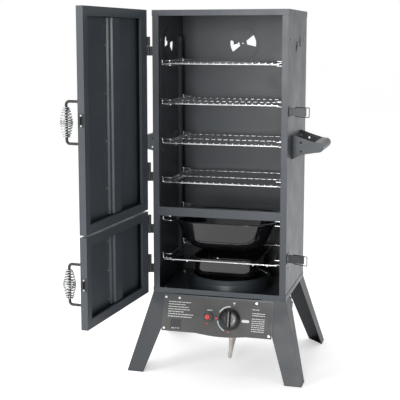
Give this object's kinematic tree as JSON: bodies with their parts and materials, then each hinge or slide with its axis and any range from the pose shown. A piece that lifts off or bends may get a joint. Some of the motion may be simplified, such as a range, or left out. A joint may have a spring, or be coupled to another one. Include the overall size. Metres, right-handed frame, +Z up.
{
  "type": "gas cabinet smoker",
  "caption": "Tall steel cabinet smoker on splayed legs, with side-hinged doors, wire racks, water bowl, chip pan and a gas burner with a front control panel.",
  "frame": {"origin": "on the ground, below the middle of the cabinet's front face", "axes": "+X to the right of someone facing the doors, +Y from the doors to the back, +Z up"},
  "size_m": [0.6213, 0.802, 1.072],
  "materials": {
    "cabinet_paint": "satin",
    "dark_paint": "satin",
    "leg_paint": "satin",
    "chrome_wire": "polished",
    "black_enamel": "gloss",
    "zinc_steel": "satin",
    "black_steel": "satin",
    "label_print": "matte",
    "black_plastic": "gloss",
    "red_plastic": "gloss",
    "burner_iron": "matte",
    "brass_fitting": "satin",
    "cast_grey": "matte",
    "hose_cover": "matte",
    "valve_alloy": "matte",
    "electrode_ceramic": "matte"
  },
  "bodies": {
    "cabinet": {"left_side_panel": "cabinet_paint", "right_side_panel": "cabinet_paint", "back_panel": "cabinet_paint", "top_panel": "cabinet_paint", "floor_pan": "cabinet_paint", "middle_rail": "cabinet_paint", "support_strips": "cabinet_paint", "rail_wires": "chrome_wire", "leg_front_left": "leg_paint", "leg_front_right": "leg_paint", "leg_rear_left": "leg_paint", "leg_rear_right": "leg_paint", "leg_bolts": "zinc_steel", "control_panel": "cabinet_paint", "label_plate": "label_print", "sheet_screws": "zinc_steel", "gas_valve": "valve_alloy", "igniter_body": "black_plastic", "burner": "burner_iron", "burner_bracket": "dark_paint", "ignition_electrode": "electrode_ceramic", "hose_ferrules": "brass_fitting", "gas_hose": "hose_cover", "regulator": "cast_grey", "cabinet_hinge_leaves": "black_steel", "latch_bases": "black_steel", "left_carry_handle": "cabinet_paint", "right_carry_handle": "cabinet_paint"},
    "upper_door": {"upper_door_shell": "cabinet_paint", "upper_door_stiffener": "cabinet_paint", "upper_door_rivets": "zinc_steel", "upper_strike": "black_steel", "upper_handle_rod": "black_steel", "upper_spring_grip": "chrome_wire", "upper_door_hinge_leaves": "black_steel", "door_badge": "black_steel"},
    "lower_door": {"lower_door_shell": "cabinet_paint", "lower_door_stiffener": "cabinet_paint", "lower_door_rivets": "zinc_steel", "lower_strike": "black_steel", "lower_handle_rod": "black_steel", "lower_spring_grip": "chrome_wire", "lower_door_hinge_leaves": "black_steel"},
    "rack_1": {"cooking_rack_1": "chrome_wire"},
    "rack_2": {"cooking_rack_2": "chrome_wire"},
    "rack_3": {"cooking_rack_3": "chrome_wire"},
    "rack_4": {"cooking_rack_4": "chrome_wire"},
    "carrier": {"pan_carrier": "chrome_wire", "chip_pan": "black_enamel"},
    "bowl": {"water_bowl": "black_enamel"},
    "stem": {"valve_stem": "zinc_steel"},
    "knob": {"control_knob": "black_plastic"},
    "button": {"igniter_button": "red_plastic"},
    "left_vent_disc": {"left_damper": "cabinet_paint"},
    "right_vent_disc": {"right_damper": "cabinet_paint"},
    "back_vent_disc": {"back_damper": "cabinet_paint"},
    "upper_lever": {"upper_latch_lever": "black_steel"},
    "upper_bail": {"upper_latch_bail": "black_steel"},
    "lower_lever": {"lower_latch_lever": "black_steel"},
    "lower_bail": {"lower_latch_bail": "black_steel"}
  },
  "joints": [
    {"name": "upper_door_hinge", "type": "hinge", "parent": "cabinet", "child": "upper_door", "pos_m": [-0.2135, 0, 0.9], "axis": [0, 0, 1], "range_deg": [-85, 94.4]},
    {"name": "lower_door_hinge", "type": "hinge", "parent": "cabinet", "child": "lower_door", "pos_m": [-0.2135, 0, 0.35], "axis": [0, 0, 1], "range_deg": [-85, 94.4]},
    {"name": "rack_1_slide", "type": "slide", "parent": "cabinet", "child": "rack_1", "axis": [0, 1, 0], "range_m": [-0.3, 0]},
    {"name": "rack_2_slide", "type": "slide", "parent": "cabinet", "child": "rack_2", "axis": [0, 1, 0], "range_m": [-0.3, 0]},
    {"name": "rack_3_slide", "type": "slide", "parent": "cabinet", "child": "rack_3", "axis": [0, 1, 0], "range_m": [-0.3, 0]},
    {"name": "rack_4_slide", "type": "slide", "parent": "cabinet", "child": "rack_4", "axis": [0, 1, 0], "range_m": [-0.3, 0]},
    {"name": "pan_carrier_slide", "type": "slide", "parent": "cabinet", "child": "carrier", "axis": [0, 1, 0], "range_m": [-0.3, 0]},
    {"name": "water_bowl_slide", "type": "slide", "parent": "cabinet", "child": "bowl", "axis": [0, 1, 0], "range_m": [-0.3, 0]},
    {"name": "knob_push", "type": "slide", "parent": "cabinet", "child": "stem", "axis": [0, -0.9567, 0.2912], "range_m": [-0.0035, 0], "stiffness_N_per_m": 600},
    {"name": "knob_turn", "type": "hinge", "parent": "stem", "child": "knob", "pos_m": [0.04, -0.02849, 0.17073], "axis": [0, -0.9567, 0.2912], "range_deg": [0, 180]},
    {"name": "igniter_push", "type": "slide", "parent": "cabinet", "child": "button", "axis": [0, -0.9567, 0.2912], "range_m": [-0.005, 0], "stiffness_N_per_m": 600},
    {"name": "left_vent_turn", "type": "hinge", "parent": "cabinet", "child": "left_vent_disc", "pos_m": [-0.2006, 0.155, 0.974], "axis": [1, 0, 0], "range_deg": [0, 90]},
    {"name": "right_vent_turn", "type": "hinge", "parent": "cabinet", "child": "right_vent_disc", "pos_m": [0.2006, 0.155, 0.974], "axis": [-1, 0, 0], "range_deg": [0, 90]},
    {"name": "back_vent_turn", "type": "hinge", "parent": "cabinet", "child": "back_vent_disc", "pos_m": [0, 0.3076, 0.974], "axis": [0, -1, 0], "range_deg": [0, 90]},
    {"name": "upper_latch_lever_pivot", "type": "hinge", "parent": "cabinet", "child": "upper_lever", "pos_m": [0.208, 0.022, 0.782], "axis": [0, 0, 1], "range_deg": [0, 90]},
    {"name": "upper_latch_bail_pivot", "type": "hinge", "parent": "upper_lever", "child": "upper_bail", "pos_m": [0.22, 0.0215, 0.782], "axis": [0, 0, 1], "range_deg": [-157.5, 0]},
    {"name": "lower_latch_lever_pivot", "type": "hinge", "parent": "cabinet", "child": "lower_lever", "pos_m": [0.208, 0.022, 0.352], "axis": [0, 0, 1], "range_deg": [0, 90]},
    {"name": "lower_latch_bail_pivot", "type": "hinge", "parent": "lower_lever", "child": "lower_bail", "pos_m": [0.22, 0.0215, 0.352], "axis": [0, 0, 1], "range_deg": [-157.5, 0]}
  ],
  "couplings": [
    {"joint": "upper_latch_bail_pivot", "follows": "upper_latch_lever_pivot", "ratio": -1.75},
    {"joint": "lower_latch_bail_pivot", "follows": "lower_latch_lever_pivot", "ratio": -1.75}
  ]
}
